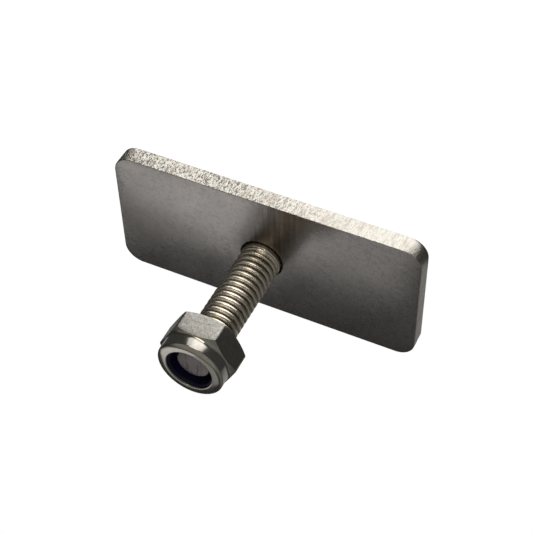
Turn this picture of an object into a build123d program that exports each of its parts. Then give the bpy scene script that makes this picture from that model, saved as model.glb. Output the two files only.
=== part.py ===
"""T-bolt: a threaded stud welded square into a rectangular plate, with a nylon-insert lock nut.

Units are millimetres. +Z runs up the stud. The origin is where the stud's axis meets the plate's
back face, and X runs along the plate's length.
"""
from build123d import *
import math
import os

# Plate: flat bar, cut to length, with one punched hole that is a little off its middle.
plate_length = 46.0
plate_width = 20.8
plate_thickness = 2.7
plate_corner_radius = 2.8
plate_edge = 0.2
hole_diameter = 6.5
hole_offset_x = 0.3
hole_offset_y = 0.55

# Stud: M6, coarse rolled thread, with a short plain shank at its foot. The ridge is flat at its
# crest and runs to a sharp root.
stud_height = 20.5
stud_end_diameter = 4.55
stud_end_angle = 45
shank_step = 0.06
shank_height = 0.7
thread_major = 5.88
thread_depth = 0.58
thread_crest_share = 0.2
pitch = 1.0

# Weld round the stud's foot, ground flush with the plate's back face.
weld_depth = 1.2
weld_width = 1.0

# Lock nut: a hexagon, chamfered at both ends, with a round collar rolled in at its mouth.
nut_across_flats = 9.9
nut_height = 6.15
nut_hex_height = 3.2
nut_chamfer_angle = 30
nut_bearing_step = 0.05
nut_bore_clearance = 0.05
nut_countersink = 0.35
nut_recess = 1.65
collar_wall = 0.52
collar_roll_radius = 0.95
collar_lip = 0.37
collar_lip_depth = 0.7

# Nylon ring, held in the collar. Its bore is drawn clear of the thread that it grips.
nylon_width = 1.09
nylon_height = 2.2
nylon_play = 0.03
nylon_bore_clearance = 0.04

stud_top = plate_thickness + stud_height
nut_top = stud_top + nut_recess
nut_foot = nut_top - nut_height
crest_radius = thread_major / 2
root_radius = crest_radius - thread_depth
shank_radius = crest_radius + shank_step
nylon_inner = crest_radius + nylon_bore_clearance
nylon_outer = nylon_inner + nylon_width
seat_radius = nylon_outer + nylon_play
collar_radius = seat_radius + collar_wall
mouth_radius = collar_radius - collar_roll_radius - collar_lip


def turned(points):
    """The solid that a closed outline of (radius, height) points sweeps about the stud's axis."""
    outline = Polyline(*points, close=True)
    return revolve(Plane.XZ * make_face(outline), Axis.Z)


def plate():
    """Rounded flat bar with a chamfered front rim and the stud's hole, widened at the back for the weld."""
    outline = RectangleRounded(plate_length, plate_width, plate_corner_radius)
    blank = extrude(Pos(-hole_offset_x, -hole_offset_y, 0) * outline, plate_thickness)
    blank = chamfer(blank.faces().sort_by(Axis.Z)[-1].edges(), plate_edge)
    hole_radius = hole_diameter / 2
    weld_radius = hole_radius + weld_width
    return blank - turned(
        [
            (0, 0),
            (weld_radius, 0),
            (weld_radius, weld_depth),
            (hole_radius, weld_depth),
            (hole_radius, plate_thickness),
            (0, plate_thickness),
        ]
    )


def back_weld():
    """Weld metal that fills the counterbore round the stud's foot."""
    outer = hole_diameter / 2 + weld_width
    return turned([(shank_radius, 0), (outer, 0), (outer, weld_depth), (shank_radius, weld_depth)])


def ruled(edges):
    """Ruled faces between each edge and the next."""
    return [Face.make_surface_from_curves(low, high) for low, high in zip(edges, edges[1:])]


def threaded_rod(low, turns):
    """Whole turns of right-hand thread from a height, closed at each end by a ramp and a step."""
    flank = pitch * (1 - thread_crest_share) / 2
    outline = [(root_radius, 0), (crest_radius, flank), (crest_radius, pitch - flank), (root_radius, pitch)]
    helices = [Pos(0, 0, rise) * Edge.make_helix(pitch, pitch, radius) for radius, rise in outline]
    axis = Edge.make_line((0, 0, 0), (0, 0, pitch))
    step = Wire.make_polygon([(0, 0, 0), *((radius, 0, rise) for radius, rise in outline), (0, 0, pitch)])
    end = ruled([helices[0], axis]) + [Face(step)]
    skin = [Pos(0, 0, turn * pitch) * face for turn in range(turns) for face in ruled(helices)]
    skin += [Pos(0, 0, turn * pitch) * face for turn in (0, turns) for face in end]
    return Pos(0, 0, low) * Solid(Shell(skin))


def stud():
    """Plain shank, threaded length and chamfered end, in one piece, drawn about the shank's top."""
    foot = plate_thickness + shank_height
    run = stud_top - foot
    low = -1.3 * pitch
    rod = threaded_rod(low, math.ceil((run - low) / pitch) + 1)
    tip = stud_end_diameter / 2
    wide = crest_radius + pitch
    shoulder = run - (wide - tip) / math.tan(math.radians(stud_end_angle))
    blank = turned([(0, 0), (wide, 0), (wide, shoulder), (tip, run), (0, run)])
    neck = [(shank_radius, -foot), (shank_radius, -shank_step), (crest_radius, 0)]
    shank = turned([(0, -foot), *neck, (0, 0)])
    return Pos(0, 0, foot) * (shank + (rod & blank))


def lock_nut():
    """Hexagon and rolled collar, bored clear of the thread, with the nylon ring's seat."""
    flat = nut_across_flats / 2
    hexagon = RegularPolygon(flat, 6, major_radius=False)
    corner = hexagon.radius
    bearing = flat - nut_bearing_step
    rise = math.tan(math.radians(nut_chamfer_angle))
    hex_end = nut_foot + nut_hex_height
    collar_foot = hex_end + (corner - collar_radius) * rise
    prism = extrude(Pos(0, 0, nut_foot) * hexagon, collar_foot - nut_foot)
    chamfers = turned(
        [
            (0, nut_foot),
            (bearing, nut_foot),
            (corner, nut_foot + (corner - bearing) * rise),
            (corner, hex_end),
            (collar_radius, collar_foot),
            (0, collar_foot),
        ]
    )
    return (prism & chamfers) + collar_body(collar_foot) - nut_cavity()


def collar_body(foot):
    """The round collar, its rolled top drawn as two tapers, and the lip that dips into its mouth."""
    crown = collar_radius - collar_roll_radius
    middle = collar_roll_radius * math.sqrt(0.5)
    shoulder = nut_top - collar_roll_radius
    lip = nut_top - collar_lip_depth
    return turned(
        [
            (0, foot),
            (collar_radius, foot),
            (collar_radius, shoulder),
            (crown + middle, shoulder + middle),
            (crown, nut_top),
            (mouth_radius, lip),
            (0, lip),
        ]
    )


def nylon_seat():
    """Heights of the nylon ring's seat and of the underside of the lip above it."""
    ceiling = nut_top - collar_lip_depth
    return ceiling - nylon_height - 2 * nylon_play, ceiling


def nut_cavity():
    """Countersink, bore, nylon seat and open mouth, as one turned tool."""
    bore = crest_radius + nut_bore_clearance
    seat, ceiling = nylon_seat()
    return turned(
        [
            (0, nut_foot),
            (bore + nut_countersink, nut_foot),
            (bore, nut_foot + nut_countersink),
            (bore, seat),
            (seat_radius, seat),
            (seat_radius, ceiling),
            (mouth_radius, ceiling),
            (0, ceiling),
        ]
    )


def nylon_insert():
    """The locking ring, a running fit in its seat and clear of the thread."""
    seat, ceiling = nylon_seat()
    low = seat + nylon_play
    high = ceiling - nylon_play
    return turned([(nylon_inner, low), (nylon_outer, low), (nylon_outer, high), (nylon_inner, high)])


pieces = {
    "plate": plate,
    "stud": stud,
    "back_weld": back_weld,
    "lock_nut": lock_nut,
    "nylon_insert": nylon_insert,
}

os.makedirs("parts", exist_ok=True)
for name, build in pieces.items():
    export_step(build(), f"parts/{name}.step")
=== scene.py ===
"""Looks of a T-bolt: a rectangular steel plate with a welded stud and a nylon-insert lock nut."""

import math

import bmesh
import bpy
from bpy.props import FloatProperty, FloatVectorProperty, IntProperty, PointerProperty
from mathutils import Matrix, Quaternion, Vector, noise


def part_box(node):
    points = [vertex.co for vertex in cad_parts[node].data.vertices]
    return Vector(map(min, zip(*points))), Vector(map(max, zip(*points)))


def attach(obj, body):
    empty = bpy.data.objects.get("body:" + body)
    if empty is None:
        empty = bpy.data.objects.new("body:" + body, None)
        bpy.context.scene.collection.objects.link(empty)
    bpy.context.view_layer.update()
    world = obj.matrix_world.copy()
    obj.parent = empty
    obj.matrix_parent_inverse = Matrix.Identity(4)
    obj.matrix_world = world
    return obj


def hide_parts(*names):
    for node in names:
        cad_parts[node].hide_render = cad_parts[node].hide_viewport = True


bl_info = {
    "name": "T-bolt looks",
    "version": (1, 0, 0),
    "blender": (4, 5, 0),
    "location": "View3D > Sidebar > T-bolt",
    "description": "Builds the plate, stud, lock nut and weld of a T-bolt, and the stage they stand on",
    "category": "Object",
}

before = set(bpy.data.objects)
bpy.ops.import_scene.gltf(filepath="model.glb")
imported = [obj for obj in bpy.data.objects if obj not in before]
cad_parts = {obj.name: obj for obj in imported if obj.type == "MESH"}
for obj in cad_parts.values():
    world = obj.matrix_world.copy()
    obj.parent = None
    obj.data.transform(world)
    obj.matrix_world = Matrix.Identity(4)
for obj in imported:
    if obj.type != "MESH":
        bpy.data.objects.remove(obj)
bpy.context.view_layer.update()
PLATE_LOW, PLATE_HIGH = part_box("plate")
STUD_LOW, STUD_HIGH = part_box("stud")
NUT_LOW, NUT_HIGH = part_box("lock_nut")
RING_LOW, RING_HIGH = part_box("nylon_insert")

MM = 0.001

# Small edges and fits.
HOLE_EDGE = 0.06 * MM  # broken edge at the front of the plate's hole
SHANK_EDGE = 0.08 * MM  # how far the shank's top edge is turned down
END_DISH = 0.06 * MM  # how far the dished end of the stud is lifted back
COUNTERSINK = 0.35 * MM  # chamfer at the foot of the nut's bore
RING_PLAY = 0.03 * MM  # play under the nylon ring in its seat
RING_GAP = 0.04 * MM  # gap between the thread's crests and the nylon ring
FLOOR_GAP = 0.02 * MM  # gap between the plate's back and the floor

# Form of the thread, in pitches where it is a length.
CREST_POWER = 2.4  # widens the crests and narrows the roots as it grows
FIRST_CREST = 4.8  # how far under the shank's top the lowest crest starts
RUN_OUT = 0.75  # how far above the shank the thread reaches its full depth

# The hollow under the nut's collar starts this share of the way in along the hexagon's chamfer.
HOLLOW_START = 0.3

# Grains of the steel in a metre, and the height that they stand.
GRAIN_SCALE = 5200.0
GRAIN_HEIGHT = 0.012 * MM
SIDE_HEIGHT = 0.24 * MM

# Each soft light: its name, place, the way it faces, its width and height, brightness and tone.
WHITE = (1.0, 1.0, 1.0)
WARM = (1.0, 0.91, 0.74)
SOFTBOXES = (
    ("back softbox", (45 * MM, 90 * MM, 117 * MM), (0, -1, 0), (110 * MM, 72 * MM), 0.27, WHITE),
    ("side softbox", (84 * MM, 86 * MM, 113 * MM), (0, -1, 0), (90 * MM, 78 * MM), 0.46, WHITE),
    ("front softbox", (2 * MM, -120 * MM, 27 * MM), (0, 1, 0), (56 * MM, 52 * MM), 2.8, WARM),
)
FILL_LIGHT = ("fill light", (-0.25, -0.40, 0.50), (0.25, 0.40, -0.50), (0.5, 0.5), 2.0, WHITE)


def length(name, description, default):
    """A size in metres that a user may change."""
    return FloatProperty(name=name, description=description, default=default, unit="LENGTH", precision=5)


def colour(name, description, default):
    """A linear colour that a user may change."""
    return FloatVectorProperty(
        name=name, description=description, default=default, subtype="COLOR", size=3, min=0.0, max=1.0
    )


def brightness(name, description, default):
    """A glow that a user may change."""
    return FloatProperty(name=name, description=description, default=default)


def angle(name, description, degrees):
    """An angle that a user may change."""
    return FloatProperty(name=name, description=description, default=math.radians(degrees), subtype="ANGLE")


class PlateFinish(bpy.types.PropertyGroup):
    """Sizes and colours of the rectangular plate."""

    corner_radius: length("Corner radius", "Radius of the plate's four corners", 2.8 * MM)
    edge_round: length("Edge rounding", "Rounding along the rims of both faces", 0.15 * MM)
    hole_radius: length("Hole radius", "Radius of the hole that the stud stands in", 3.25 * MM)
    weld_depth: length("Weld depth", "Depth of the weld's seat at the back", 1.2 * MM)
    weld_width: length("Weld width", "Width of the weld's seat round the hole", 1.0 * MM)
    shear_depth: length("Shear marks", "Depth of the marks that shearing left on the sides", 0.03 * MM)
    side_step: length("Side mesh step", "Spacing of the mesh along the sheared sides", 0.16 * MM)
    face_colour: colour("Face colour", "Satin steel of the two faces", (0.56, 0.53, 0.505))
    dull_colour: colour("Dull colour", "Duller patches and dirt in the grain", (0.33, 0.30, 0.28))
    side_colour: colour("Side colour", "Freshly sheared steel of the sides", (0.61, 0.58, 0.52))
    torn_colour: colour("Torn colour", "Browner steel in upright tears along the sides", (0.36, 0.31, 0.25))
    # Brown used for the weld's heat tint at the back, and for the painted reflection of the stud on the
    # plate's face
    tint_and_reflection_colour: colour("Heat tint", "Brown tint that welding left round the stud", (0.12, 0.10, 0.085))


class StudFinish(bpy.types.PropertyGroup):
    """Sizes and colours of the threaded stud."""

    pitch: length("Pitch", "Distance from one thread to the next", 1.0 * MM)
    crest_radius: length("Crest radius", "Radius over the thread's crests", 2.94 * MM)
    root_radius: length("Root radius", "Radius at the thread's roots", 2.36 * MM)
    shank_radius: length("Shank radius", "Radius of the plain shank at the foot", 3.0 * MM)
    shank_height: length("Shank height", "Height of the plain shank above the plate", 0.7 * MM)
    end_radius: length("End radius", "Radius of the flat at the stud's end", 2.275 * MM)
    turn_steps: IntProperty(
        name="Steps in a turn", description="Mesh steps in one turn of the thread", default=90, min=24
    )
    crest_colour: colour("Crest colour", "Bright rolled steel of the crests", (0.86, 0.80, 0.69))
    worn_colour: colour("Worn colour", "Browner steel in patches along the thread", (0.42, 0.36, 0.28))
    end_colour: colour("End colour", "Dull cut steel of the stud's end", (0.33, 0.295, 0.30))
    # Painted shade: the colour that darkens the thread's roots, where the grooves are shaded
    root_shade_colour: colour("Root colour", "Darker steel at the roots", (0.13, 0.095, 0.07))


class NutFinish(bpy.types.PropertyGroup):
    """Sizes and colours of the lock nut's steel body."""

    hex_height: length("Hexagon height", "Height of the hexagon's corners", 3.2 * MM)
    bearing_step: length("Bearing step", "How far the bearing circle lies inside the flats", 0.05 * MM)
    collar_radius: length("Collar radius", "Outer radius of the round collar", 4.8 * MM)
    collar_cove: length("Collar cove", "Height of the hollow between the chamfer and the collar", 0.5 * MM)
    crown_radius: length("Crown radius", "Radius of the highest circle of the rolled rim", 3.48 * MM)
    crown_drop: length("Crown drop", "How far the rolled crown lies under the nut's full height", 0.41 * MM)
    roll_height: length("Roll height", "Height over which the collar's wall rolls in to the crown", 0.50 * MM)
    collar_wall: length("Collar wall", "Thickness of the collar's wall", 0.70 * MM)
    lip_depth: length("Lip depth", "How far under the nut's top the lip's underside lies", 0.7 * MM)
    mouth_radius: length("Mouth radius", "Radius of the opening above the nylon ring", 3.33 * MM)
    mouth_drop: length("Mouth drop", "How far the opening's edge lies under the crown", 0.10 * MM)
    bore_radius: length("Bore radius", "Radius of the nut's bore", 2.99 * MM)
    corner_round: length("Corner rounding", "Rounding of the hexagon's six upright corners", 0.45 * MM)
    edge_round: length("Edge rounding", "Rounding along the edges of the hexagon's chamfers", 0.12 * MM)
    chamfer: angle("Chamfer", "Slope of the hexagon's chamfers", 30)
    steel_colour: colour("Steel colour", "Steel of the nut's flats", (0.38, 0.37, 0.345))
    # Painted sheen: the collar is the same plated steel as the flats, painted brighter
    collar_sheen_colour: colour("Collar colour", "Brighter steel of the collar", (0.56, 0.53, 0.475))
    dull_colour: colour("Dull colour", "Dull patches on the nut", (0.36, 0.33, 0.28))


class NylonFinish(bpy.types.PropertyGroup):
    """Sizes and colour of the nylon locking ring."""

    edge: length("Edge", "Slope at the inner edge of the ring's top", 0.3 * MM)
    colour: colour("Nylon colour", "Blue-black nylon", (0.0012, 0.0012, 0.010))


class StageLook(bpy.types.PropertyGroup):
    """Camera, floor and light."""

    azimuth: angle("Azimuth", "Direction of the camera round the part", -22.316)
    elevation: angle("Elevation", "Height of the camera above the floor", 36.671)
    roll: angle("Roll", "Turn of the camera about its line of sight", 147.175)
    distance: length("Distance", "Distance of the camera from the point it aims at", 190 * MM)
    lens: FloatProperty(name="Lens", description="Focal length on a 36 mm sensor", default=91.411)
    aim: FloatVectorProperty(
        name="Aim", description="Point the camera looks at", default=(-0.6 * MM, 1.58 * MM, 2.45 * MM), size=3
    )
    floor_colour: colour("Floor colour", "Floor before the glow that whitens it", (0.13, 0.13, 0.13))
    floor_white: brightness("Floor white", "Glow that turns the floor white to the camera", 0.96)
    card_glow: brightness("Card glow", "Glow of the card in front, seen in reflections", 1.62)
    middle_glow: brightness("Middle glow", "Glow added in the card's middle", 1.1)
    behind_glow: brightness("Behind glow", "Glow of the card behind the plate, seen in reflections", 0.28)
    strip_glow: brightness("Strip glow", "Glow of the strip beside the plate's end", 0.22)
    ceiling_colour: colour("Ceiling colour", "Dim ceiling over the part", (0.27, 0.27, 0.25))
    room_colour: colour("Room colour", "Dark room round the part", (0.040, 0.040, 0.040))


# Node helpers


def node(tree, kind, inputs=None, **settings):
    """Add a node. Each input is a plain value or another node's output socket."""
    made = tree.nodes.new(kind)
    for name, value in settings.items():
        setattr(made, name, value)
    for name, value in (inputs or {}).items():
        if isinstance(value, bpy.types.NodeSocket):
            tree.links.new(value, made.inputs[name])
        else:
            made.inputs[name].default_value = value
    return made


def maths(tree, operation, first, second=0.0, third=0.0):
    """Output of a Math node."""
    inputs = {0: first, 1: second, 2: third}
    return node(tree, "ShaderNodeMath", inputs, operation=operation).outputs[0]


def times(tree, first, second):
    """Product of two values."""
    return maths(tree, "MULTIPLY", first, second)


def times_plus(tree, first, second, third):
    """Product of two values, with a third added."""
    return maths(tree, "MULTIPLY_ADD", first, second, third)


def fade(tree, value, low, high, smooth=True):
    """Value carried from low..high to 0..1."""
    kind = "SMOOTHSTEP" if smooth else "LINEAR"
    inputs = {"Value": value, "From Min": low, "From Max": high}
    return node(tree, "ShaderNodeMapRange", inputs, interpolation_type=kind).outputs[0]


def between(tree, factor, first, second):
    """Colour mixed from first to second."""
    return node(tree, "ShaderNodeMix", {0: factor, 6: first, 7: second}, data_type="RGBA").outputs[2]


def rgba(value, gain=1.0):
    """Four-channel colour from a three-channel one."""
    return (value[0] * gain, value[1] * gain, value[2] * gain, 1.0)


def noise_at(tree, place, scale, detail=3.0, roughness=0.6):
    """Output of a Noise node, 0..1, where scale is in blobs per metre."""
    inputs = {"Vector": place, "Scale": scale, "Detail": detail, "Roughness": roughness}
    return node(tree, "ShaderNodeTexNoise", inputs).outputs[0]


def stretched(tree, place, turn=(0, 0, 0), scale=(1, 1, 1)):
    """Coordinates turned and scaled by a Mapping node."""
    return node(tree, "ShaderNodeMapping", {"Vector": place, "Rotation": turn, "Scale": scale}).outputs[0]


def new_group(name, inputs, outputs):
    """A shader node group with named sockets, and its input and output nodes."""
    group = bpy.data.node_groups.new(name, "ShaderNodeTree")
    for label, kind, default in inputs:
        socket = group.interface.new_socket(label, in_out="INPUT", socket_type=kind)
        if default is not None:
            socket.default_value = default
    for label, kind in outputs:
        group.interface.new_socket(label, in_out="OUTPUT", socket_type=kind)
    return group, node(group, "NodeGroupInput"), node(group, "NodeGroupOutput")


def steel_grain_group():
    """Fine sandy grain of rolled steel: a height and a mask of dull specks."""
    group, given, out = new_group(
        "steel grain",
        [("Vector", "NodeSocketVector", None), ("Scale", "NodeSocketFloat", 9000.0)],
        [("Height", "NodeSocketFloat"), ("Specks", "NodeSocketFloat"), ("Cloud", "NodeSocketFloat")],
    )
    place, scale = given.outputs["Vector"], given.outputs["Scale"]
    fine = noise_at(group, place, scale, detail=2.0)
    coarse = noise_at(group, place, times(group, scale, 0.32), detail=3.0)
    cloud = noise_at(group, place, times(group, scale, 0.016), detail=4.0, roughness=0.65)
    height = times_plus(group, coarse, 0.6, fine)
    group.links.new(height, out.inputs["Height"])
    group.links.new(fade(group, times(group, fine, coarse), 0.23, 0.37), out.inputs["Specks"])
    group.links.new(fade(group, cloud, 0.36, 0.66), out.inputs["Cloud"])
    return group


def scratch_group():
    """Sparse hairline scratches in two directions, as a mask."""
    group, given, out = new_group(
        "scratches",
        [
            ("Vector", "NodeSocketVector", None),
            ("Scale", "NodeSocketFloat", 1400.0),
            ("Amount", "NodeSocketFloat", 0.5),
        ],
        [("Mask", "NodeSocketFloat")],
    )
    place = given.outputs["Vector"]
    total = None
    for turn, stretch in ((0.35, 26.0), (-0.95, 34.0), (1.45, 20.0)):
        run = stretched(group, place, (turn * 0.4, turn * 0.7, turn), (1.0, stretch, stretch))
        scale = times(group, given.outputs["Scale"], 0.12)
        lines = noise_at(group, run, scale, detail=2.0, roughness=0.5)
        mask = fade(group, lines, 0.66, 0.74)
        total = mask if total is None else maths(group, "MAXIMUM", total, mask)
    group.links.new(times(group, total, given.outputs["Amount"]), out.inputs["Mask"])
    return group


def use_group(tree, group, **inputs):
    """Place a node group in a material."""
    return node(tree, "ShaderNodeGroup", inputs, node_tree=group)


def shared_group(name, build):
    """The named node group, built the first time it is asked for."""
    return bpy.data.node_groups.get(name) or build()


def new_material(name):
    """A node material with its Principled shader and its object coordinates."""
    material = bpy.data.materials.new(name)
    material.use_nodes = True
    tree = material.node_tree
    place = node(tree, "ShaderNodeTexCoord").outputs["Object"]
    return material, tree, tree.nodes["Principled BSDF"], place


def bump(tree, height, distance, strength=1.0, under=None):
    """Normal from a height, over another normal if one is given."""
    inputs = {"Height": height, "Distance": distance, "Strength": strength}
    if under is not None:
        inputs["Normal"] = under
    return node(tree, "ShaderNodeBump", inputs).outputs[0]


def plate_steel():
    """Satin cold-rolled steel with a painted dark-brown reflection of the stud on its near face, and bright
    sheared sides.
    """
    look = bpy.context.scene.tbolt_plate
    material, tree, shader, place = new_material("plate steel")
    grain = use_group(tree, shared_group("steel grain", steel_grain_group), Vector=place, Scale=GRAIN_SCALE)
    marks = use_group(tree, shared_group("scratches", scratch_group), Vector=place, Amount=0.18)
    parts = node(tree, "ShaderNodeSeparateXYZ", {"Vector": place})
    out_x, out_y = parts.outputs["X"], parts.outputs["Y"]
    normal = node(tree, "ShaderNodeNewGeometry").outputs["Normal"]
    facing = node(tree, "ShaderNodeSeparateXYZ", {"Vector": normal})
    side = fade(tree, maths(tree, "ABSOLUTE", facing.outputs["Z"]), 0.80, 0.35)
    flat = maths(tree, "SUBTRACT", 1.0, side)

    # Painted reflection: a dark-brown streak runs from the stud towards the near edge, along the camera's
    # line of sight, standing in for the stud's reflection in the face.
    lean = times_plus(tree, out_y, -0.35, out_x)
    streak_run = stretched(tree, place, (0, 0, 0.34), (1.0, 0.07, 1.0))
    streaks = noise_at(tree, streak_run, 1500.0, detail=3.0)
    band = fade(tree, maths(tree, "ABSOLUTE", maths(tree, "ADD", lean, -0.2 * MM)), 6.0 * MM, 1.5 * MM)
    upward = fade(tree, out_y, 2.0 * MM, -3.0 * MM)
    reflection_plume = times(tree, times(tree, band, upward), fade(tree, streaks, -0.2, 0.75))
    tint_and_reflection = times(tree, times(tree, reflection_plume, 0.92), flat)

    dulled = times(tree, grain.outputs["Cloud"], 0.22)
    base = between(tree, dulled, rgba(look.face_colour), rgba(look.dull_colour))
    base = between(tree, times(tree, grain.outputs["Specks"], 0.45), base, rgba(look.dull_colour, 0.8))
    base = between(tree, times(tree, marks.outputs["Mask"], 0.6), base, rgba(look.dull_colour, 0.7))
    base = between(tree, tint_and_reflection, base, rgba(look.tint_and_reflection_colour))

    shear_run = stretched(tree, place, (0, 0, 0), (1.0, 1.0, 0.45))
    shear = noise_at(tree, shear_run, 4900.0, detail=2.0, roughness=0.7)
    pits = noise_at(tree, shear_run, 6000.0, detail=1.5, roughness=0.6)
    upright = noise_at(tree, stretched(tree, place, (0, 0, 0), (1.0, 1.0, 0.16)), 1900.0, detail=3.0)
    rougher = fade(tree, out_x, -18 * MM, 8 * MM)
    pit_mask = times(tree, fade(tree, pits, 0.50, 0.57), times_plus(tree, rougher, 0.70, 0.15))
    side_base = between(tree, pit_mask, rgba(look.side_colour), rgba(look.dull_colour, 0.16))
    torn = times(tree, fade(tree, upright, 0.46, 0.66), 0.5)
    side_base = between(tree, torn, side_base, rgba(look.torn_colour))
    base = between(tree, side, base, side_base)
    tree.links.new(base, shader.inputs["Base Color"])

    shader.inputs["Metallic"].default_value = 1.0
    rough = times_plus(tree, grain.outputs["Cloud"], 0.06, 0.24)
    rough = times_plus(tree, tint_and_reflection, 0.08, rough)
    rough = times_plus(tree, side, 0.02, rough)
    tree.links.new(rough, shader.inputs["Roughness"])

    height = times_plus(tree, marks.outputs["Mask"], -0.5, grain.outputs["Height"])
    face_normal = bump(tree, times(tree, height, flat), GRAIN_HEIGHT, 0.7)
    side_height = times(tree, times_plus(tree, pits, -0.5, shear), side)
    side_height = times(tree, side_height, times_plus(tree, rougher, 0.6, 0.4))
    full_normal = bump(tree, side_height, SIDE_HEIGHT, 1.0, face_normal)
    tree.links.new(full_normal, shader.inputs["Normal"])
    return material


def stud_steel():
    """Rolled thread: bright crests over roots darkened by painted shade, and a duller cut end."""
    look = bpy.context.scene.tbolt_stud
    material, tree, shader, place = new_material("stud steel")
    grain = use_group(tree, shared_group("steel grain", steel_grain_group), Vector=place, Scale=GRAIN_SCALE)
    parts = node(tree, "ShaderNodeSeparateXYZ", {"Vector": place})
    square = maths(tree, "POWER", parts.outputs["X"], 2.0)
    square = maths(tree, "ADD", square, maths(tree, "POWER", parts.outputs["Y"], 2.0))
    radius = maths(tree, "SQRT", square)
    # Painted shade: the thread's colour darkens from the crests down into the roots.
    depth = fade(tree, radius, look.crest_radius - 0.16 * MM, look.root_radius + 0.10 * MM)
    on_end = fade(tree, parts.outputs["Z"], STUD_HIGH.z - 0.15 * MM, STUD_HIGH.z - 0.04 * MM)
    depth = times(tree, depth, maths(tree, "SUBTRACT", 1.0, on_end))
    wear_run = stretched(tree, place, (0, 0, 0), (1.0, 1.0, 2.2))
    wear = fade(tree, noise_at(tree, wear_run, 900.0, detail=4.0, roughness=0.7), 0.42, 0.68)
    base = between(tree, times(tree, wear, 0.45), rgba(look.crest_colour), rgba(look.worn_colour))
    base = between(tree, times(tree, depth, 0.9), base, rgba(look.root_shade_colour))
    base = between(tree, times(tree, grain.outputs["Specks"], 0.30), base, rgba(look.worn_colour, 0.6))
    saw = noise_at(tree, stretched(tree, place, (0, 0, 0.5), (1.0, 0.18, 1.0)), 2600.0, detail=3.0)
    end_base = between(tree, fade(tree, saw, 0.50, 0.72), rgba(look.end_colour), rgba(look.end_colour, 0.55))
    base = between(tree, on_end, base, end_base)
    tree.links.new(base, shader.inputs["Base Color"])
    shader.inputs["Metallic"].default_value = 1.0
    rough = times_plus(tree, depth, 0.18, 0.24)
    rough = times_plus(tree, wear, 0.07, rough)
    rough = times_plus(tree, on_end, 0.14, rough)
    tree.links.new(rough, shader.inputs["Roughness"])
    height = times_plus(tree, wear, 1.2, grain.outputs["Height"])
    height = times_plus(tree, times(tree, saw, on_end), 1.5, height)
    tree.links.new(bump(tree, height, 0.007 * MM, 0.7), shader.inputs["Normal"])
    return material


def nut_steel():
    """Steel of the lock nut: satin, scuffed flats, and a glossier collar painted brighter as a painted sheen.
    """
    look = bpy.context.scene.tbolt_nut
    material, tree, shader, place = new_material("nut steel")
    grain = use_group(tree, shared_group("steel grain", steel_grain_group), Vector=place, Scale=GRAIN_SCALE)
    marks = use_group(tree, shared_group("scratches", scratch_group), Vector=place, Amount=0.6, Scale=3600.0)
    parts = node(tree, "ShaderNodeSeparateXYZ", {"Vector": place})
    collar_from = NUT_LOW.z + look.hex_height
    on_collar = fade(tree, parts.outputs["Z"], collar_from, collar_from + 0.7 * MM)
    on_flats = maths(tree, "SUBTRACT", 1.0, on_collar)
    scuffs = fade(tree, noise_at(tree, place, 2000.0, detail=5.0, roughness=0.75), 0.38, 0.64)
    scuffs = times(tree, scuffs, times_plus(tree, on_flats, 0.9, 0.1))
    # Painted sheen: the collar gets a brighter copy of the flats' steel.
    base = between(tree, on_collar, rgba(look.steel_colour), rgba(look.collar_sheen_colour))
    base = between(tree, times(tree, scuffs, 0.7), base, rgba(look.dull_colour, 0.75))
    base = between(tree, times(tree, grain.outputs["Specks"], 0.25), base, rgba(look.dull_colour, 0.8))
    scratched = times(tree, marks.outputs["Mask"], on_flats)
    base = between(tree, scratched, base, rgba(look.dull_colour, 0.6))
    tree.links.new(base, shader.inputs["Base Color"])
    shader.inputs["Metallic"].default_value = 1.0
    rough = times_plus(tree, on_collar, -0.14, 0.28)
    rough = times_plus(tree, scuffs, 0.08, rough)
    tree.links.new(rough, shader.inputs["Roughness"])
    height = times_plus(tree, scratched, -1.0, grain.outputs["Height"])
    height = times_plus(tree, scuffs, -1.2, height)
    height = times(tree, height, times_plus(tree, on_flats, 0.85, 0.15))
    tree.links.new(bump(tree, height, GRAIN_HEIGHT, 0.8), shader.inputs["Normal"])
    return material


def nylon_plastic():
    """Blue-black nylon with a soft moulded sheen."""
    look = bpy.context.scene.tbolt_nylon
    material, tree, shader, place = new_material("nylon")
    cloud = noise_at(tree, place, 1500.0, detail=3.0)
    base = between(tree, fade(tree, cloud, 0.4, 0.7), rgba(look.colour), rgba(look.colour, 1.8))
    tree.links.new(base, shader.inputs["Base Color"])
    tree.links.new(fade(tree, cloud, -0.4, 1.6, smooth=False), shader.inputs["Roughness"])
    shader.inputs["Specular IOR Level"].default_value = 0.25
    tree.links.new(bump(tree, noise_at(tree, place, 9000.0), 0.01 * MM, 0.5), shader.inputs["Normal"])
    return material


def weld_steel():
    """Weld metal ground flush: dull, with straight grinding marks."""
    look = bpy.context.scene.tbolt_plate
    material, tree, shader, place = new_material("weld steel")
    run = stretched(tree, place, (0, 0, 0.5), (1.0, 0.08, 1.0))
    lines = noise_at(tree, run, 7000.0, detail=3.0)
    cloud = noise_at(tree, place, 700.0, detail=4.0)
    base = between(tree, fade(tree, cloud, 0.35, 0.65), rgba(look.face_colour, 0.9), rgba(look.tint_and_reflection_colour))
    base = between(tree, fade(tree, lines, 0.5, 0.7), base, rgba(look.face_colour, 1.2))
    tree.links.new(base, shader.inputs["Base Color"])
    shader.inputs["Metallic"].default_value = 1.0
    tree.links.new(times_plus(tree, cloud, 0.3, 0.25), shader.inputs["Roughness"])
    tree.links.new(bump(tree, lines, 0.02 * MM, 0.8), shader.inputs["Normal"])
    return material


# Mesh helpers


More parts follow.
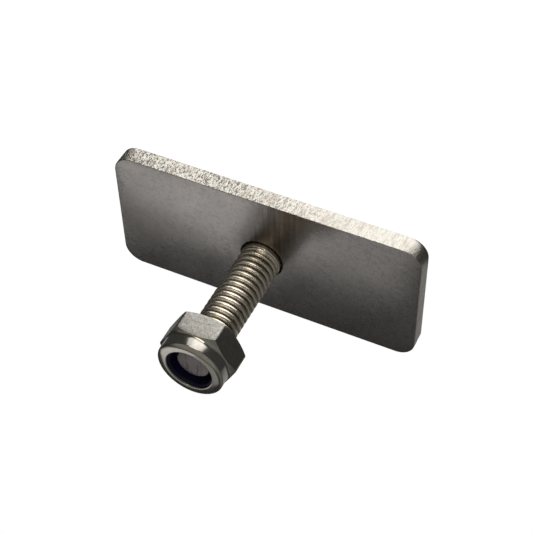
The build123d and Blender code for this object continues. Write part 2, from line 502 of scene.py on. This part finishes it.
def finished(name, bm, material, body, slot, *nodes, smooth_angle):
    """Turn a bmesh into a piece that rides on a body and stands for CAD nodes."""
    mesh = bpy.data.meshes.new(name)
    bm.to_mesh(mesh)
    bm.free()
    mesh.shade_smooth()
    mesh.set_sharp_from_angle(angle=math.radians(smooth_angle))
    mesh.materials.append(material)
    piece = bpy.data.objects.new(name, mesh)
    bpy.context.scene.collection.objects.link(piece)
    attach(piece, body)
    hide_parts(*nodes)
    return piece


def faces_outwards(bm):
    """Merge doubles and point every face outwards."""
    bmesh.ops.remove_doubles(bm, verts=bm.verts, dist=0.0005 * MM)
    bmesh.ops.recalc_face_normals(bm, faces=bm.faces)


def spun(points, steps):
    """A closed shell turned from an outline of (radius, height) points about the stud's axis."""
    bm = bmesh.new()
    corners = [bm.verts.new((radius, 0, height)) for radius, height in points]
    edges = [bm.edges.new((a, b)) for a, b in zip(corners, corners[1:] + corners[:1])]
    bmesh.ops.spin(
        bm,
        geom=corners + edges,
        cent=(0, 0, 0),
        axis=(0, 0, 1),
        dvec=(0, 0, 0),
        angle=math.tau,
        steps=steps,
        use_merge=True,
    )
    faces_outwards(bm)
    return bm


def next_ring(bm, edges, place):
    """Extrude a ring of edges and put each new corner where place(angle) says."""
    made = bmesh.ops.extrude_edge_only(bm, edges=edges)["geom"]
    for corner in (item for item in made if isinstance(item, bmesh.types.BMVert)):
        turn = math.atan2(corner.co.y, corner.co.x)
        radius, height = place(turn)
        corner.co = (radius * math.cos(turn), radius * math.sin(turn), height)
    return [item for item in made if isinstance(item, bmesh.types.BMEdge) and item.is_boundary]


def cut_level(bm, height, drop_above=False, drop_below=False):
    """Cut a mesh at a height, and drop what lies above or below if asked."""
    bmesh.ops.bisect_plane(
        bm,
        geom=bm.verts[:] + bm.edges[:] + bm.faces[:],
        dist=0.0001 * MM,
        plane_co=(0, 0, height),
        plane_no=(0, 0, 1),
        clear_outer=drop_above,
        clear_inner=drop_below,
    )


def smooth_step(value, low, high):
    """Smooth rise from 0 at low to 1 at high."""
    share = min(max((value - low) / (high - low), 0.0), 1.0)
    return share * share * (3 - 2 * share)


class TBOLT_OT_plate(bpy.types.Operator):
    """Build the sheared rectangular plate"""

    bl_idname = "tbolt.plate"
    bl_label = "Plate"

    def execute(self, context):
        look = context.scene.tbolt_plate
        bm = self.blank(look)
        self.shear_marks(bm, look)
        self.open_hole(bm, look)
        finished("steel_plate", bm, plate_steel(), "bolt", "plate_steel", "plate", smooth_angle=30)
        return {"FINISHED"}

    def blank(self, look):
        """Rounded bar with rounded rims and finely stepped sides."""
        size = PLATE_HIGH - PLATE_LOW
        middle = (PLATE_HIGH + PLATE_LOW) / 2
        bm = bmesh.new()
        bmesh.ops.create_grid(bm, x_segments=1, y_segments=1, size=0.5)
        bmesh.ops.scale(bm, vec=(size.x, size.y, 1), verts=bm.verts)
        bmesh.ops.translate(bm, vec=(middle.x, middle.y, PLATE_LOW.z), verts=bm.verts)
        bmesh.ops.bevel(
            bm,
            geom=bm.verts[:],
            offset=look.corner_radius,
            offset_type="OFFSET",
            affect="VERTICES",
            segments=28,
            profile=0.5,
            material=-1,
        )
        straight = [e for e in bm.edges if e.calc_length() > 5 * look.side_step]
        for edge in straight:
            cuts = int(edge.calc_length() / look.side_step) - 1
            bmesh.ops.subdivide_edges(bm, edges=[edge], cuts=cuts)
        made = bmesh.ops.extrude_face_region(bm, geom=bm.faces[:])["geom"]
        top = [item for item in made if isinstance(item, bmesh.types.BMVert)]
        bmesh.ops.translate(bm, vec=(0, 0, size.z), verts=top)
        bmesh.ops.recalc_face_normals(bm, faces=bm.faces)
        rims = [e for e in bm.edges if abs(e.verts[0].co.z - e.verts[1].co.z) < 0.01 * MM]
        bmesh.ops.bevel(
            bm,
            geom=rims,
            offset=look.edge_round,
            offset_type="OFFSET",
            affect="EDGES",
            segments=4,
            profile=0.5,
            material=-1,
        )
        upright = [e for e in bm.edges if abs(e.verts[0].co.z - e.verts[1].co.z) > 1.0 * MM]
        bmesh.ops.subdivide_edges(bm, edges=upright, cuts=14, use_grid_fill=True)
        return bm

    def shear_marks(self, bm, look):
        """Push the sides in by fine upright tears and shallow waves, never outwards."""
        bm.normal_update()
        shifts = []
        for corner in bm.verts:
            out = corner.normal
            share = 1.0 - abs(out.z)
            if share > 0.05:
                place = corner.co / MM
                tear = noise.noise(Vector((place.x * 5.5, place.y * 5.5, place.z * 0.8)))
                wave = noise.noise(Vector((place.x * 1.1, place.y * 1.1, place.z * 1.6)) + Vector((7, 3, 1)))
                depth = look.shear_depth * share * (0.9 + 0.6 * tear + 0.7 * wave)
                shifts.append((corner, Vector((out.x, out.y, 0)) * -max(depth, 0.0)))
        for corner, shift in shifts:
            corner.co += shift

    def open_hole(self, bm, look):
        """Replace both faces by ones with the stud's hole, and line the hole."""
        flats = [f for f in bm.faces if abs(f.normal.z) > 0.99 and f.calc_area() > 1e-5]
        if len(flats) != 2:
            raise RuntimeError("the plate's two faces were not found")
        bmesh.ops.delete(bm, geom=flats, context="FACES_ONLY")
        outer = [e for e in bm.edges if e.is_boundary]
        spread = look.hole_radius + look.weld_width
        levels = (
            (spread, PLATE_LOW.z),
            (spread, PLATE_LOW.z + look.weld_depth),
            (look.hole_radius, PLATE_LOW.z + look.weld_depth),
            (look.hole_radius, PLATE_HIGH.z - HOLE_EDGE),
            (look.hole_radius + HOLE_EDGE, PLATE_HIGH.z),
        )
        start = bmesh.ops.create_circle(bm, cap_ends=False, segments=128, radius=levels[0][0])["verts"]
        bmesh.ops.translate(bm, vec=(0, 0, levels[0][1]), verts=start)
        ring = list({e for v in start for e in v.link_edges})
        first_ring = ring
        for radius, height in levels[1:]:
            ring = next_ring(bm, ring, lambda turn, at=(radius, height): at)
        for inner, level in ((first_ring, PLATE_LOW.z), (ring, PLATE_HIGH.z)):
            rim = [e for e in outer if abs(e.verts[0].co.z - level) < 0.01 * MM]
            bmesh.ops.triangle_fill(bm, edges=rim + inner, use_beauty=True)
        bmesh.ops.recalc_face_normals(bm, faces=bm.faces)


class TBOLT_OT_stud(bpy.types.Operator):
    """Build the stud with its rolled thread"""

    bl_idname = "tbolt.stud"
    bl_label = "Stud"

    def execute(self, context):
        look = context.scene.tbolt_stud
        bm = self.helix(look)
        shank_top = PLATE_HIGH.z + look.shank_height
        end = STUD_HIGH.z
        shoulder = end - (look.crest_radius - look.end_radius)
        cut_level(bm, STUD_LOW.z, drop_below=True)
        cut_level(bm, end, drop_above=True)
        for level in (shank_top - 0.12 * MM, shank_top - 0.04 * MM, shank_top, shoulder):
            cut_level(bm, level)
        for corner in bm.verts:
            self.turn_down(corner, look, shank_top, end)
        self.cap(bm, look, end)
        finished("threaded_stud", bm, stud_steel(), "bolt", "stud_steel", "stud", smooth_angle=35)
        return {"FINISHED"}

    def profile(self, look, share):
        """Radius of the rolled thread at a share of its pitch, with broad crests and narrow roots."""
        swing = 0.5 + 0.5 * math.cos(math.tau * share)
        return look.crest_radius - (look.crest_radius - look.root_radius) * (1 - swing) ** CREST_POWER

    def helix(self, look):
        """One turn of the thread's outline, spun as it rises, then repeated up the whole length."""
        points = 16
        low = PLATE_HIGH.z + look.shank_height - FIRST_CREST * look.pitch
        turns = math.ceil((STUD_HIGH.z - low) / look.pitch) + 1
        bm = bmesh.new()
        row = []
        for index in range(points + 1):
            share = index / points
            row.append(bm.verts.new((self.profile(look, share), 0, low + share * look.pitch)))
        line = [bm.edges.new(pair) for pair in zip(row, row[1:])]
        bmesh.ops.spin(
            bm,
            geom=row + line,
            cent=(0, 0, 0),
            axis=(0, 0, 1),
            dvec=(0, 0, look.pitch / look.turn_steps),
            angle=math.tau,
            steps=look.turn_steps,
            use_merge=False,
        )
        one_turn = bm.verts[:] + bm.edges[:] + bm.faces[:]
        for turn in range(1, turns):
            copied = bmesh.ops.duplicate(bm, geom=one_turn)["geom"]
            corners = [item for item in copied if isinstance(item, bmesh.types.BMVert)]
            bmesh.ops.translate(bm, vec=(0, 0, turn * look.pitch), verts=corners)
        bmesh.ops.remove_doubles(bm, verts=bm.verts, dist=0.001 * MM)
        bmesh.ops.recalc_face_normals(bm, faces=bm.faces)
        return bm

    def turn_down(self, corner, look, shank_top, end):
        """Turn one corner of the mesh down to the shank, the run-out or the chamfered end."""
        radius = math.hypot(corner.co.x, corner.co.y)
        height = corner.co.z
        if height <= shank_top - 0.03 * MM:
            lowered = smooth_step(height, shank_top - 0.12 * MM, shank_top - 0.03 * MM)
            wanted = look.shank_radius - SHANK_EDGE * lowered
        else:
            fading = smooth_step(height, shank_top + RUN_OUT * look.pitch, shank_top)
            wanted = radius + (look.crest_radius - 0.05 * MM - radius) * fading
            wanted = min(wanted, look.end_radius + (end - height))
        corner.co.x *= wanted / radius
        corner.co.y *= wanted / radius

    def cap(self, bm, look, end):
        """Close the foot with a flat, and the end with a slightly dished flat."""
        rims = [e for e in bm.edges if e.is_boundary]
        foot = [e for e in rims if e.verts[0].co.z < PLATE_LOW.z + 0.1 * MM]
        tip = [e for e in rims if e.verts[0].co.z > end - 0.1 * MM]
        bmesh.ops.edgeloop_fill(bm, edges=foot)
        for shrink, drop in ((0.10, 0.06), (0.35, 0.10), (1.2, 0.09)):
            radius = look.end_radius - shrink * MM
            tip = next_ring(bm, tip, lambda turn, at=(radius, end - drop * MM + END_DISH): at)
        bmesh.ops.edgeloop_fill(bm, edges=tip)
        bmesh.ops.recalc_face_normals(bm, faces=bm.faces)


class TBOLT_OT_nut(bpy.types.Operator):
    """Build the lock nut's hexagon and rolled collar"""

    bl_idname = "tbolt.nut"
    bl_label = "Lock nut"

    def execute(self, context):
        look = context.scene.tbolt_nut
        bm = self.shell(look)
        sharp = [e for e in bm.edges if e.calc_face_angle(0) > math.radians(18) and self.on_hexagon(e)]
        bmesh.ops.bevel(
            bm,
            geom=sharp,
            offset=look.edge_round,
            offset_type="OFFSET",
            affect="EDGES",
            segments=3,
            profile=0.5,
            material=-1,
            clamp_overlap=True,
        )
        finished("lock_nut_body", bm, nut_steel(), "nut", "nut_steel", "lock_nut", smooth_angle=30)
        return {"FINISHED"}

    def flat_radius(self, turn):
        """Distance from the axis to the hexagon's rounded outline in one direction."""
        apothem = (NUT_HIGH.y - NUT_LOW.y) / 2
        rounding = bpy.context.scene.tbolt_nut.corner_round
        sixth = math.tau / 6
        off = abs((turn % sixth) - sixth / 2)
        straight = (apothem - rounding) * math.tan(sixth / 2)
        if off <= math.atan(straight / apothem):
            return apothem / math.cos(off)
        centre = math.hypot(apothem - rounding, straight)
        short = sixth / 2 - off
        return centre * math.cos(short) + math.sqrt(rounding**2 - (centre * math.sin(short)) ** 2)

    def on_hexagon(self, edge):
        """Whether an edge lies on the hexagon's outline."""
        for corner in edge.verts:
            radius = math.hypot(corner.co.x, corner.co.y)
            turn = math.atan2(corner.co.y, corner.co.x)
            if abs(radius - self.flat_radius(turn)) > 0.01 * MM:
                return False
        return True

    def shell(self, look):
        """The nut's whole skin, ring by ring from the bearing face round to the bore."""
        foot = NUT_LOW.z
        crown_height = NUT_HIGH.z - look.crown_drop
        rise = math.tan(look.chamfer)
        apothem = (NUT_HIGH.y - NUT_LOW.y) / 2
        corner = self.flat_radius(0)
        bearing = apothem - look.bearing_step
        hex_end = foot + look.hex_height
        collar = look.collar_radius
        meeting = hex_end + (corner - collar) * rise
        crown = look.crown_radius
        ceiling = NUT_HIGH.z - look.lip_depth
        seat = collar - look.collar_wall

        def at(radius, height):
            return lambda turn: (radius, height)

        def low_side(turn):
            radius = self.flat_radius(turn)
            return radius, foot + (radius - bearing) * rise

        def high_side(turn):
            radius = self.flat_radius(turn)
            return radius, hex_end + (corner - radius) * rise

        def hollow(turn, s):
            """A point on the hollow curve from the chamfer up to the collar's wall."""
            radius, height = high_side(turn)
            radius += (collar - radius) * HOLLOW_START
            height += (meeting - height) * HOLLOW_START
            curve_radius = radius + (collar - radius) * (1 - (1 - s) ** 2)
            curve_height = (1 - s) ** 2 * height + 2 * s * (1 - s) * meeting
            curve_height += s**2 * (meeting + look.collar_cove)
            return curve_radius, curve_height

        rings = [at(bearing, foot), low_side]
        for share in (0.2, 0.4, 0.6, 0.8):
            rings.append(
                lambda turn, s=share: (
                    self.flat_radius(turn),
                    low_side(turn)[1] * (1 - s) + high_side(turn)[1] * s,
                )
            )
        rings.append(high_side)
        for step in range(9):
            rings.append(lambda turn, s=step / 8: hollow(turn, s))
        for step in range(17):
            turn_up = math.radians(90 * step / 16)
            height = crown_height - look.roll_height * (1 - math.sin(turn_up))
            rings.append(at(crown + (collar - crown) * math.cos(turn_up), height))
        for step in range(1, 7):
            turn_in = math.radians(90 * step / 6)
            height = crown_height - look.mouth_drop * (1 - math.cos(turn_in))
            rings.append(at(crown - (crown - look.mouth_radius) * math.sin(turn_in), height))
        rings.append(at(look.mouth_radius, ceiling))
        rings.append(at(seat, ceiling))
        rings.append(at(seat, RING_LOW.z - RING_PLAY))
        rings.append(at(look.bore_radius, RING_LOW.z - RING_PLAY))
        rings.append(at(look.bore_radius, foot + COUNTERSINK))

        bm = bmesh.new()
        widest = look.bore_radius + COUNTERSINK
        start = bmesh.ops.create_circle(bm, cap_ends=False, segments=240, radius=widest)
        bmesh.ops.translate(bm, vec=(0, 0, foot), verts=start["verts"])
        first = bm.edges[:]
        ring = first
        for place in rings:
            ring = next_ring(bm, ring, place)
        bmesh.ops.bridge_loops(bm, edges=first + ring)
        faces_outwards(bm)
        return bm


class TBOLT_OT_nylon(bpy.types.Operator):
    """Build the nylon locking ring"""

    bl_idname = "tbolt.nylon"
    bl_label = "Nylon ring"

    def execute(self, context):
        look = context.scene.tbolt_nylon
        outer = (RING_HIGH.x - RING_LOW.x) / 2
        inner = context.scene.tbolt_stud.crest_radius + RING_GAP
        low, high = RING_LOW.z, RING_HIGH.z
        rounded = []
        for step in range(7):
            turn = math.radians(90 * step / 6)
            radius = inner + look.edge * (1 - math.cos(turn))
            rounded.append((radius, high - look.edge * (1 - math.sin(turn))))
        outline = [(inner, low), (inner, high - look.edge)] + rounded[1:] + [(outer, high), (outer, low)]
        bm = spun(outline, 128)
        finished("nylon_ring", bm, nylon_plastic(), "ring", "nylon", "nylon_insert", smooth_angle=35)
        return {"FINISHED"}


class TBOLT_OT_weld(bpy.types.Operator):
    """Dress the ground weld at the plate's back"""

    bl_idname = "tbolt.weld"
    bl_label = "Weld"

    def execute(self, context):
        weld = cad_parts["back_weld"]
        weld.data.materials.clear()
        weld.data.materials.append(weld_steel())
        return {"FINISHED"}


class TBOLT_OT_stage(bpy.types.Operator):
    """Set up the floor, the light and the camera"""

    bl_idname = "tbolt.stage"
    bl_label = "Stage"

    def execute(self, context):
        look = context.scene.tbolt_stage
        self.floor(look)
        self.surroundings(look)
        for box in SOFTBOXES:
            self.softbox(*box)
        self.softbox(*FILL_LIGHT).visible_glossy = False
        self.camera(look)
        context.scene.view_settings.view_transform = "Standard"
        return {"FINISHED"}

    def floor(self, look):
        """A wide floor, white to the camera, that keeps the part's soft shadow."""
        bm = bmesh.new()
        bmesh.ops.create_grid(bm, x_segments=1, y_segments=1, size=2.0)
        bmesh.ops.translate(bm, vec=(0, 0, PLATE_LOW.z - FLOOR_GAP), verts=bm.verts)
        mesh = bpy.data.meshes.new("floor")
        bm.to_mesh(mesh)
        bm.free()
        ground = bpy.data.objects.new("floor", mesh)
        bpy.context.scene.collection.objects.link(ground)
        material, tree, shader, place = new_material("pale floor")
        cloud = noise_at(tree, place, 3.0)
        base = between(tree, cloud, rgba(look.floor_colour), rgba(look.floor_colour, 0.96))
        tree.links.new(base, shader.inputs["Base Color"])
        shader.inputs["Roughness"].default_value = 0.9
        shader.inputs["Specular IOR Level"].default_value = 0.0
        shader.inputs["Emission Color"].default_value = (1, 1, 1, 1)
        path = node(tree, "ShaderNodeLightPath")
        mirrored = maths(tree, "MAXIMUM", path.outputs["Is Glossy Ray"], path.outputs["Is Transmission Ray"])
        seen = times(tree, path.outputs["Is Camera Ray"], look.floor_white)
        glow = times_plus(tree, mirrored, self.card(tree, place, look), seen)
        tree.links.new(glow, shader.inputs["Emission Strength"])
        mesh.materials.append(material)

    def card(self, tree, place, look):
        """Glow that only reflections see: a card in front, a strip by one end and a card behind."""
        parts = node(tree, "ShaderNodeSeparateXYZ", {"Vector": place})
        out_x, out_y = parts.outputs["X"], parts.outputs["Y"]
        left = fade(tree, out_x, PLATE_HIGH.x, PLATE_HIGH.x - 1.6 * MM)
        right = fade(tree, out_x, PLATE_LOW.x - 1.5 * MM, PLATE_LOW.x + 2.0 * MM)
        near = fade(tree, out_y, PLATE_LOW.y + 0.3 * MM, PLATE_LOW.y - 0.1 * MM)
        far = fade(tree, out_y, -95 * MM, -18 * MM, smooth=False)
        lit = times(tree, times(tree, left, right), times(tree, near, far))
        bright_x = times(tree, fade(tree, out_x, 15 * MM, 5 * MM), fade(tree, out_x, -22 * MM, -12 * MM))
        bright = times(tree, bright_x, fade(tree, out_y, -21 * MM, -27 * MM))
        front = times(tree, lit, times_plus(tree, bright, look.middle_glow, look.card_glow))
        inner = fade(tree, out_x, PLATE_LOW.x + 0.5 * MM, PLATE_LOW.x)
        outer = fade(tree, out_x, PLATE_LOW.x - 4.0 * MM, PLATE_LOW.x - 3.0 * MM)
        lower = fade(tree, out_y, PLATE_LOW.y + 2.5 * MM, PLATE_LOW.y + 5.0 * MM)
        upper = fade(tree, out_y, PLATE_HIGH.y + 4.0 * MM, PLATE_HIGH.y + 2.0 * MM)
        strip = times(tree, times(tree, inner, outer), times(tree, lower, upper))
        glow = times_plus(tree, strip, look.strip_glow, front)
        begins = fade(tree, out_y, PLATE_HIGH.y + 6.5 * MM, PLATE_HIGH.y + 10.5 * MM)
        ends = fade(tree, out_y, 85 * MM, 35 * MM)
        spread = fade(tree, maths(tree, "ABSOLUTE", out_x), 55 * MM, 25 * MM)
        behind = times(tree, times(tree, begins, ends), spread)
        return times_plus(tree, behind, look.behind_glow, glow)

    def surroundings(self, look):
        """White to the camera, and to reflections a dark room under a dim, leaning ceiling."""
        world = bpy.data.worlds.new("studio")
        bpy.context.scene.world = world
        world.use_nodes = True
        tree = world.node_tree
        tree.nodes.clear()
        way = node(tree, "ShaderNodeTexCoord").outputs["Generated"]
        parts = node(tree, "ShaderNodeSeparateXYZ", {"Vector": way})
        height = parts.outputs["Z"]
        leaning = times_plus(tree, parts.outputs["Y"], -0.35, times(tree, height, 0.9))
        overhead = fade(tree, leaning, 0.45, 0.75)
        far_side = times(tree, fade(tree, parts.outputs["X"], -0.05, -0.40), 0.5)
        room = between(tree, far_side, rgba(look.room_colour), rgba(look.ceiling_colour))
        room = between(tree, overhead, room, rgba(look.ceiling_colour))
        path = node(tree, "ShaderNodeLightPath")
        mirrored = maths(tree, "MAXIMUM", path.outputs["Is Glossy Ray"], path.outputs["Is Transmission Ray"])
        low = times(tree, mirrored, fade(tree, height, -0.004, -0.012))
        seen = maths(tree, "MAXIMUM", path.outputs["Is Camera Ray"], low)
        colour_seen = between(tree, seen, room, (1, 1, 1, 1))
        back = node(tree, "ShaderNodeBackground", {"Color": colour_seen, "Strength": 1.0})
        out = node(tree, "ShaderNodeOutputWorld")
        tree.links.new(back.outputs[0], out.inputs["Surface"])

    def softbox(self, name, place, facing, size, brightness, tone):
        """A rectangular soft light, level, of a given surface brightness, that the camera can't see."""
        data = bpy.data.lights.new(name, "AREA")
        data.shape = "RECTANGLE"
        data.size, data.size_y = size
        data.energy = brightness * math.pi * size[0] * size[1]
        data.color = tone
        lamp = bpy.data.objects.new(name, data)
        bpy.context.scene.collection.objects.link(lamp)
        lamp.visible_camera = False
        lamp.location = place
        lamp.rotation_mode = "QUATERNION"
        lamp.rotation_quaternion = Vector(facing).to_track_quat("-Z", "Y")
        return lamp

    def camera(self, look):
        """The camera, aimed at the part and rolled about its line of sight."""
        data = bpy.data.cameras.new("camera")
        data.lens = look.lens
        data.sensor_width = 36
        data.clip_start = 0.01
        data.clip_end = 20
        eye = bpy.data.objects.new("camera", data)
        bpy.context.scene.collection.objects.link(eye)
        flat = math.cos(look.elevation)
        across, along = math.sin(look.azimuth) * flat, -math.cos(look.azimuth) * flat
        back = Vector((across, along, math.sin(look.elevation)))
        eye.location = Vector(look.aim) + back * look.distance
        eye.rotation_mode = "QUATERNION"
        level = (-back).to_track_quat("-Z", "Y")
        eye.rotation_quaternion = level @ Quaternion((0, 0, 1), -look.roll)
        bpy.context.scene.camera = eye


class TBOLT_PT_sidebar(bpy.types.Panel):
    """Buttons that build the T-bolt's looks"""

    bl_label = "T-bolt"
    bl_idname = "TBOLT_PT_sidebar"
    bl_space_type = "VIEW_3D"
    bl_region_type = "UI"
    bl_category = "T-bolt"

    def draw(self, context):
        for _, operator in STEPS:
            self.layout.operator(operator.bl_idname)


FINISHES = {
    "tbolt_plate": PlateFinish,
    "tbolt_stud": StudFinish,
    "tbolt_nut": NutFinish,
    "tbolt_nylon": NylonFinish,
    "tbolt_stage": StageLook,
}
STEPS = (
    ("plate", TBOLT_OT_plate),
    ("stud", TBOLT_OT_stud),
    ("nut", TBOLT_OT_nut),
    ("nylon", TBOLT_OT_nylon),
    ("weld", TBOLT_OT_weld),
    ("stage", TBOLT_OT_stage),
)


def register():
    """Register the properties, operators and panel."""
    for name, finish in FINISHES.items():
        bpy.utils.register_class(finish)
        setattr(bpy.types.Scene, name, PointerProperty(type=finish))
    for _, operator in STEPS:
        bpy.utils.register_class(operator)
    bpy.utils.register_class(TBOLT_PT_sidebar)


def unregister():
    """Take everything back out."""
    bpy.utils.unregister_class(TBOLT_PT_sidebar)
    for _, operator in reversed(STEPS):
        bpy.utils.unregister_class(operator)
    for name, finish in FINISHES.items():
        delattr(bpy.types.Scene, name)
        bpy.utils.unregister_class(finish)


def main():
    """Build every piece and the stage."""
    register()
    for name, _ in STEPS:
        getattr(bpy.ops.tbolt, name)()


if __name__ == "__main__":
    main()
